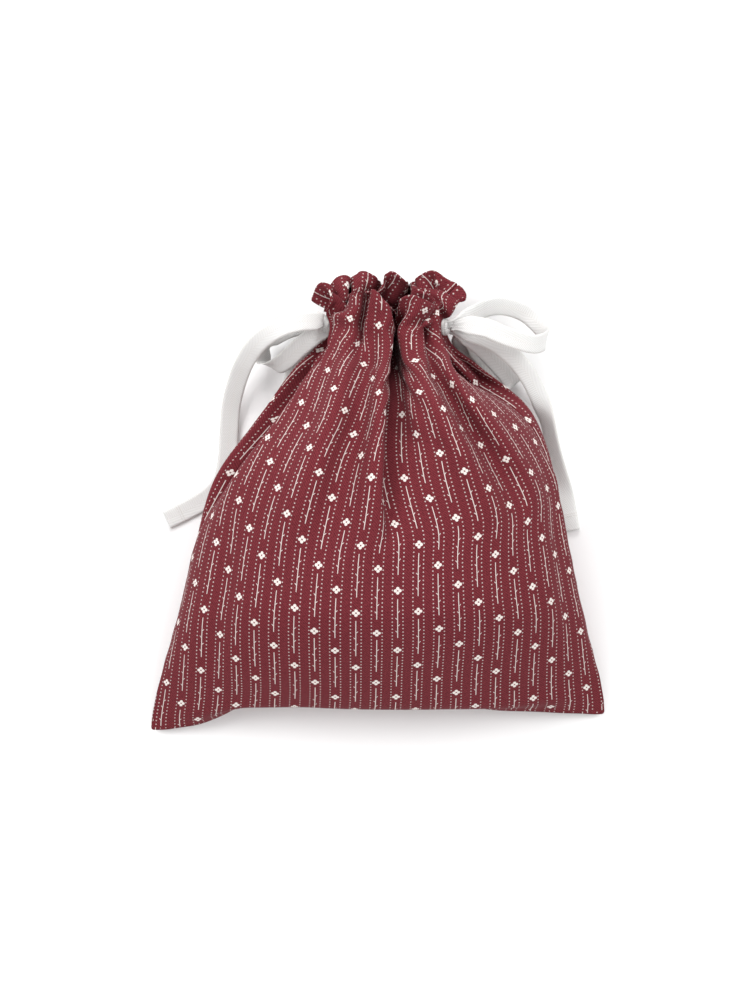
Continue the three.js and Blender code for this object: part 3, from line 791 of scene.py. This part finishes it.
# ------------------------------------------------------------------ tape material
def tape_material():
    t = Tree("herringbone_tape")
    uv, U, V = t.uv("flat")
    U, V = t.mul(U, 100.0), t.mul(V, 100.0)  # across from the middle, along
    au = t.m("ABSOLUTE", U)
    rib = t.m("SINE", t.mul(t.add(V, t.mul(au, 1.25)), 2 * math.pi / 1.35))
    rib = t.add(t.mul(rib, 0.5), 0.5)
    yarn = t.add(t.mul(t.m("SINE", t.mul(U, 2 * math.pi / 0.5)), 0.5), 0.5)
    slub = t.noise(uv, 180.0, 3.0, 0.6)
    edge = t.step(t.sub(4.55, au), 0.25)
    f = t.add(t.mul(rib, 0.5), t.add(t.mul(slub, 0.35), t.mul(yarn, 0.15)))
    colour = t.mix(f, lin(203, 202, 200), lin(231, 231, 230))
    colour = t.mix(t.mul(edge, 0.25), colour, lin(226, 221, 214))
    mid = t.step(t.sub(au, 0.2), 0.15)
    colour = t.mix(t.mul(mid, 0.2), colour, lin(214, 209, 202))
    # hem at the loose end with a sewn row, and a painted shade line where the hem layer ends
    dash = t.sub(t.m("ABSOLUTE", t.sub(t.m("FLOORED_MODULO", U, 2.0), 1.0)), 0.72)
    sewn = t.step(t.m("MAXIMUM", t.sub(t.m("ABSOLUTE", t.add(V, 7.6)), 0.22), dash), 0.1)
    # painted shade: a darker line across the tape at the edge of the hem layer, where the tape steps up in thickness
    hem_edge_shade = t.step(t.sub(t.m("ABSOLUTE", t.add(V, 9.0)), 0.25), 0.2)
    colour = t.mix(t.mul(hem_edge_shade, 0.35), colour, lin(190, 185, 178))
    colour = t.mix(t.mul(sewn, 0.5), colour, lin(200, 196, 190))
    height = t.sub(t.add(t.mul(rib, 0.7), t.mul(yarn, 0.3)), t.mul(sewn, 0.8))
    return t.finish(colour, 0.85, height, 0.6, 0.00025, sheen=0.10, spec=0.15)


TAPE_MAT = tape_material()


# ------------------------------------------------------------------ meshes
def mesh_object(name, verts_mm, faces, uvs_mm, mat, smooth=True):
    me = bpy.data.meshes.new(name)
    me.from_pydata([tuple(v) for v in (np.asarray(verts_mm) / 1000.0)], [], faces)
    layer = me.uv_layers.new(name="flat")
    idx = np.zeros(len(me.loops), int)
    me.loops.foreach_get("vertex_index", idx)
    layer.uv.foreach_set("vector", (np.asarray(uvs_mm)[idx] / 100.0).astype(np.float32).ravel())
    me.polygons.foreach_set("use_smooth", [smooth] * len(me.polygons))
    me.materials.append(mat)
    me.update()
    ob = bpy.data.objects.new(name, me)
    SCENE.collection.objects.link(ob)
    return ob


def freeze(ob):
    """Applies the modifiers."""
    dg = bpy.context.evaluated_depsgraph_get()
    me = bpy.data.meshes.new_from_object(ob.evaluated_get(dg), depsgraph=dg)
    ob.modifiers.clear()
    old = ob.data
    ob.data = me
    bpy.data.meshes.remove(old)
    return ob


def panel_object(side, name):
    P = CLOTH[side]
    a = np.linspace(0, W, NU)
    faces = []
    for j in range(NV - 1):
        for i in range(NU - 1):
            q = [j * NU + i, j * NU + i + 1, (j + 1) * NU + i + 1, (j + 1) * NU + i]
            faces.append(q if side == 0 else q[::-1])
    uu = np.broadcast_to(a if side == 0 else W - a + 4.0, (NV, NU))
    vv = np.broadcast_to(VS[:, None] + (0 if side == 0 else 11.0) * 0, (NV, NU))
    ob = mesh_object(name, P.reshape(-1, 3), faces, np.stack([uu, vv], -1).reshape(-1, 2), CLOTH_MAT)
    sub = ob.modifiers.new("smooth", "SUBSURF")
    sub.levels = sub.render_levels = 1
    sub.boundary_smooth = "ALL"
    grp = ob.vertex_groups.new(name="thick")
    for j, v in enumerate(VS):
        w = 0.5 if v < V8 else 1.0
        grp.add(list(range(j * NU, (j + 1) * NU)), w, "REPLACE")
    sol = ob.modifiers.new("cloth", "SOLIDIFY")
    sol.thickness = 0.0012
    sol.offset = -1.0
    sol.vertex_group = "thick"
    sol.thickness_vertex_group = 0.0
    freeze(ob)
    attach(ob, "root")
    return ob


front = panel_object(0, "front_cloth")
back = panel_object(1, "back_cloth")
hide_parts("front_panel")
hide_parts("back_panel")

# ------------------------------------------------------------------ tapes
TAPE_W, TAPE_T = 10.0, 0.9


def ribbon(name, ctrl, pinch=(), hem=True, step=1.0):
    """Flat tape through (px, py, z, width direction). pinch: (mm along, mm wide) pairs."""
    pts = np.array([at(c[0], c[1], c[2]) for c in ctrl])
    wid = np.array([c[3] for c in ctrl], float)
    wid /= np.linalg.norm(wid, axis=1)[:, None]
    a = np.concatenate([[0], np.cumsum(np.linalg.norm(np.diff(pts, axis=0), axis=1) ** 0.6)])
    fine = np.linspace(0, a[-1], 1200)
    C, D = through(a, pts, fine), through(a, wid, fine)
    l = np.concatenate([[0], np.cumsum(np.linalg.norm(np.diff(C, axis=0), axis=1))])
    n = max(8, int(round(l[-1] / step)))
    s = np.linspace(0, l[-1], n + 1)
    C = np.stack([np.interp(s, l, C[:, k]) for k in range(3)], -1)
    D = np.stack([np.interp(s, l, D[:, k]) for k in range(3)], -1)
    T = np.gradient(C, axis=0)
    T /= np.linalg.norm(T, axis=1)[:, None]
    D -= (D * T).sum(1)[:, None] * T
    D /= np.linalg.norm(D, axis=1)[:, None]
    N = np.cross(T, D)
    half = np.full(n + 1, TAPE_W / 2)
    if pinch:
        half = np.interp(s, [p[0] for p in pinch], [p[1] / 2 for p in pinch])
    q = np.linspace(-1, 1, 9)
    verts, uvs = [], []
    rng = np.random.default_rng(len(name))
    wob = 0.12 * np.convolve(rng.normal(size=n + 41), np.ones(21) / 21, "same")[20 : n + 21] * 3
    for i in range(n + 1):
        crush = 1 - half[i] / (TAPE_W / 2)
        th = TAPE_T * (1 + 0.8 * crush) * (1.7 if hem and s[-1] - s[i] < 9.0 else 1.0)
        for face in (1, -1):
            for k in q if face > 0 else q[::-1]:
                lift = 0.25 * (1 - k * k) + crush * 1.4 * math.cos(3.2 * math.pi * k) * (1 - 0.3 * abs(k))
                off = face * th / 2 * (1 - 0.55 * abs(k) ** 6) + lift
                verts.append(C[i] + D[i] * (k * half[i] + wob[i] * 0.3) + N[i] * off)
                uvs.append((k * TAPE_W / 2, s[i] - s[-1]))
    m = 18
    faces = []
    for i in range(n):
        for k in range(m):
            k2 = (k + 1) % m
            faces.append([i * m + k, i * m + k2, (i + 1) * m + k2, (i + 1) * m + k])
    faces.append(list(range(m))[::-1])
    faces.append([n * m + k for k in range(m)])
    ob = mesh_object(name, np.array(verts), faces, np.array(uvs), TAPE_MAT)
    bm_fix(ob)
    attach(ob, "root")
    return ob, C / 1000.0, l[-1]


def bm_fix(ob):
    import bmesh

    bm = bmesh.new()
    bm.from_mesh(ob.data)
    bmesh.ops.recalc_face_normals(bm, faces=bm.faces)
    bm.to_mesh(ob.data)
    bm.free()


def knot_object(name, px, py, z, r):
    c = at(px, py, z)
    nu, nv = 40, 24
    verts, uvs, faces = [], [], []
    for j in range(nv + 1):
        th = math.pi * j / nv
        for i in range(nu):
            ph = 2 * math.pi * i / nu
            d = np.array([math.sin(th) * math.cos(ph), math.cos(th), math.sin(th) * math.sin(ph)])
            g = 1 + 0.07 * math.sin(5 * ph + 2.2 * math.cos(th) * 2) * math.sin(th) + 0.05 * math.sin(9 * ph + 1.0)*math.sin(th)
            verts.append(c + d * np.array(r) * g)
            uvs.append(((math.sin(ph)) * 4.5, 6.0 * th))
    for j in range(nv):
        for i in range(nu):
            i2 = (i + 1) % nu
            faces.append([j * nu + i, j * nu + i2, (j + 1) * nu + i2, (j + 1) * nu + i])
    ob = mesh_object(name, np.array(verts), faces, np.array(uvs), TAPE_MAT)
    bm_fix(ob)
    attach(ob, "root")
    return ob


def flat(dx, dy, dz=0.0):
    """Width direction from image right, image up and height."""
    return (dx, dy, dz)


LEFT_A = [  # loop to the lower left, then the long tail
    (332, 327, 27, (0, 1, 0.1)), (322, 331, 28, (0, 1, 0.2)), (311, 338, 29, (-0.5, 0.82, 0.2)), (299, 348, 26, (-0.65, 0.72, 0.2)),
    (285, 361, 18, (-0.75, 0.6, 0.1)), (273, 367.5, 10, (-0.88, 0.45, 0.1)), (264.5, 362, 6, (-0.75, 0.4, 0.5)), (264, 351, 9, (-0.35, 0.1, 0.9)),
    (270, 341, 15, (-0.5, 0.5, 0.6)), (284, 331, 22, (-0.3, 0.9, 0.3)), (303, 325, 27, (0, 1, 0.2)), (318, 322, 30, (0.2, 0.95, 0.3)), (323, 321, 33, (0, 1, 0.4)),
    (316, 321, 35.5, (0, 1, 0.2)), (298, 322, 37, (0.05, 1, 0)), (277, 329, 36, (-0.35, 0.92, 0)), (259, 342, 30, (-0.72, 0.68, 0)),
    (246, 360, 21, (-0.9, 0.42, 0)), (237, 382, 12, (-0.96, 0.26, 0)), (231, 408, 5, (-0.99, 0.14, 0)), (229, 436, 1.8, (-1, 0.08, 0)),
    (227, 462, 1.2, (-1, 0.12, 0)), (221, 483, 1.2, (-0.9, 0.45, 0)), (207, 498, 1.2, (-0.6, 0.8, 0)), (187, 510, 1.1, (-0.47, 0.88, 0)), (166.5, 520, 1.1, (-0.47, 0.88, 0)),
]
LEFT_B = [  # loop behind, then the tail under the pouch
    (332, 323, 26, (0, 1, 0.2)), (321, 322, 26, (0, 1, 0.2)), (306, 320, 26, (0, 1, 0.2)), (292, 321, 23, (0.0, 1, 0.2)),
    (280, 326, 18, (-0.35, 0.92, 0.2)), (273, 332, 13, (-0.5, 0.85, 0.2)), (276, 333, 8, (-0.5, 0.85, 0.2)), (290, 328, 8, (-0.2, 1, 0.2)),
    (305, 324, 13, (-0.2, 1, 0.1)), (315, 325, 18, (0.5, 0.8, 0.3)), (315, 332, 18, (0.9, 0.2, 0.2)), (307, 343, 13, (0.9, -0.4, 0.1)),
    (300, 356, 6, (1, -0.3, 0)), (295, 374, 1.8, (1, -0.25, 0)), (285, 405, 1.3, (0.92, -0.4, 0)), (268, 435, 1.3, (0.85, -0.53, 0)), (250, 462, 1.2, (0.83, -0.55, 0)),
]
RIGHT_A = [  # upper loop, then the outer tail
    (443, 326, 28, (0, 1, 0.1)), (454, 323, 30, (0, 1, 0.1)), (470, 316, 28, (0.15, 0.95, 0.15)), (484, 309, 23, (0.2, 0.95, 0.2)),
    (502, 306, 17, (0.15, 0.95, 0.25)), (523, 312, 14, (0.45, 0.85, 0.3)), (537, 323, 15, (0.55, 0.8, 0.2)), (546, 334, 20, (0.35, 0.88, 0.2)),
    (545, 341, 28, (0.1, 0.97, 0.15)), (533, 344, 34, (0.15, 0.97, 0.1)), (508, 337, 38, (0.3, 0.93, 0.05)), (486, 328, 38, (0.3, 0.9, 0)), (467, 325, 35, (0.2, 0.95, 0)),
    (454, 326, 31, (0.3, 0.9, 0.3)), (456, 329, 28, (0.6, 0.8, 0.2)), (471, 333, 27, (0.5, 0.85, 0)), (488, 339, 26, (0.5, 0.85, 0.1)),
    (506, 351, 20, (0.65, 0.75, 0.05)), (524, 370, 13, (0.8, 0.55, -0.1)), (537, 393, 9, (0.85, 0.3, -0.25)), (547, 420, 7, (0.7, 0.05, 0.6)),
    (553, 449, 6.5, (0.7, 0.05, 0.6)), (559, 475, 5.2, (0.85, 0.12, 0.4)), (565, 500, 2.2, (0.97, 0.2, -0.12)), (570.5, 531, 1.2, (0.98, 0.2, 0)),
]
RIGHT_B = [  # lower loop, then the tail under the pouch
    (443, 328, 26, (0.3, 0.9, 0.1)), (454, 331, 26, (0.5, 0.85, 0.1)), (468, 337, 25, (0.65, 0.75, 0.1)), (480, 346, 20, (0.7, 0.7, 0.15)),
    (495, 361, 12, (0.7, 0.7, 0.15)), (508, 376, 7, (0.72, 0.68, 0.1)), (513, 385, 5, (0.8, 0.6, 0)), (504, 380, 2.4, (0.7, 0.7, 0)),
    (489, 365, 3, (0.7, 0.7, 0)), (476, 349, 10, (0.7, 0.7, 0)), (467, 336, 18, (0.8, 0.5, 0)), (460, 333, 19, (0.9, 0.1, 0)),
    (461, 341, 14, (1, 0, 0)), (466, 352, 7, (1, 0.1, 0)), (468, 366, 2.2, (1, 0.2, 0)), (480, 394, 1.3, (0.9, 0.45, 0)),
    (500, 420, 1.3, (0.8, 0.6, 0)), (520, 448, 1.3, (0.82, 0.55, 0)), (532.5, 480, 1.3, (0.92, 0.3, 0)), (539, 508, 1.2, (0.95, 0.25, 0)),
]


def pinches(ctrl, tight):
    """Widths along the tape: narrow at the control points listed, full elsewhere."""
    pts = np.array([at(c[0], c[1], c[2]) for c in ctrl])
    a = np.concatenate([[0], np.cumsum(np.linalg.norm(np.diff(pts, axis=0), axis=1))])
    return [(a[i], 4.6 if i in tight else 10.0) for i in range(len(ctrl))]


left_knot = knot_object("left_bow", 327, 325, 27, (3.4, 4.4, 3.2))
right_knot = knot_object("right_bow", 445, 327, 27, (3.4, 4.4, 3.2))
for name, ctrl, tight, nodes in (
    ("left_tape_a", LEFT_A, (0, 11, 12), ("left_loop_front", "left_tail_long", "left_tape_channel")),
    ("left_tape_b", LEFT_B, (0, 9, 10), ("left_loop_back", "left_tail_under")),
    ("right_tape_a", RIGHT_A, (0, 1, 13, 14), ("right_loop_upper", "right_tail_outer", "right_tape_channel")),
    ("right_tape_b", RIGHT_B, (0, 1, 10, 11), ("right_loop_lower", "right_tail_under")),
):
    ob, path, length = ribbon(name, ctrl, pinches(ctrl, tight))
    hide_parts(*nodes)
    print(name, "length %.1f mm" % length)
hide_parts("left_bow_knot")
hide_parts("right_bow_knot")

# ------------------------------------------------------------------ floor, light
floor_me = bpy.data.meshes.new("floor")
S = 6.0
floor_me.from_pydata([(-S, -S, 0), (S, -S, 0), (S, S, 0), (-S, S, 0)], [], [(0, 1, 2, 3)])
floor = bpy.data.objects.new("floor", floor_me)
SCENE.collection.objects.link(floor)
fm = bpy.data.materials.new("floor_white")
fm.use_nodes = True
b = fm.node_tree.nodes["Principled BSDF"]
b.inputs["Base Color"].default_value = (0.92, 0.92, 0.92, 1)
b.inputs["Roughness"].default_value = 0.9
b.inputs["Specular IOR Level"].default_value = 0.1
floor_me.materials.append(fm)


def area_light(name, loc, aim, size, power, colour=(1, 1, 1)):
    ld = bpy.data.lights.new(name, "AREA")
    ld.shape = "RECTANGLE"
    ld.size, ld.size_y = size
    ld.energy = power
    ld.color = colour
    ob = bpy.data.objects.new(name, ld)
    SCENE.collection.objects.link(ob)
    ob.location = loc
    ob.rotation_euler = (Vector(aim) - Vector(loc)).to_track_quat("-Z", "Y").to_euler()
    return ob


area_light("key_left", (-1.25, 0.40, 1.35), (0, 0, 0.03), (0.9, 0.9), 17.5)
area_light("key_right", (1.25, 0.40, 1.35), (0, 0, 0.03), (0.9, 0.9), 11.5)
area_light("top", (0.0, 1.45, 0.9), (0, 0, 0.03), (1.2, 0.7), 17)
area_light("low", (0.2, -1.4, 0.9), (0, 0, 0.03), (1.4, 0.8), 5)
world = bpy.data.worlds.new("world")
SCENE.world = world
world.use_nodes = True
world.node_tree.nodes["Background"].inputs["Color"].default_value = (1, 1, 1, 1)
world.node_tree.nodes["Background"].inputs["Strength"].default_value = 0.70
SCENE.view_settings.view_transform = "Standard"
SCENE.view_settings.look = "None"
SCENE.view_settings.exposure = 0.0
SCENE.view_settings.gamma = 1.0
